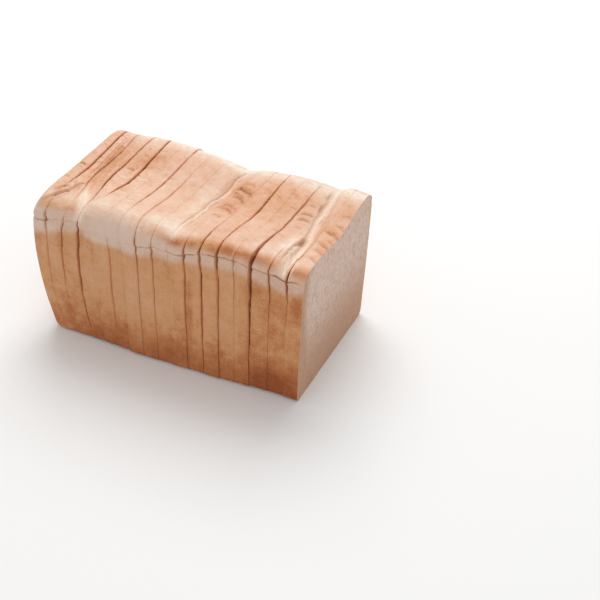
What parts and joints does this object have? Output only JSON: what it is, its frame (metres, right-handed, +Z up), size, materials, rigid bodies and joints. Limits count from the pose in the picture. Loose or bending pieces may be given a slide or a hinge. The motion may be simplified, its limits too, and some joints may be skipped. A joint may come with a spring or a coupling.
{
  "type": "sliced tin loaf",
  "caption": "White tin loaf cut into upright slices that still keep the loaf's shape, with a rounded heel at one end and an open cut face at the other.",
  "frame": {"origin": "on the surface the loaf stands on, under the middle of its bounding box", "axes": "+X along the loaf from the rounded heel to the open cut face, +Y across it, +Z up"},
  "size_m": [0.2328, 0.129, 0.1265],
  "materials": {
    "bread": "matte golden-brown crust outside, pale cream crumb where it is cut"
  },
  "bodies": {
    "root": {"heel_slice": "bread", "slice_02": "bread", "slice_03": "bread", "slice_04": "bread", "slice_05": "bread", "slice_06": "bread", "slice_07": "bread", "slice_08": "bread", "slice_09": "bread", "slice_10": "bread", "slice_11": "bread", "slice_12": "bread", "slice_13": "bread", "slice_14": "bread", "slice_15": "bread", "slice_16": "bread", "slice_17": "bread"}
  },
  "joints": []
}
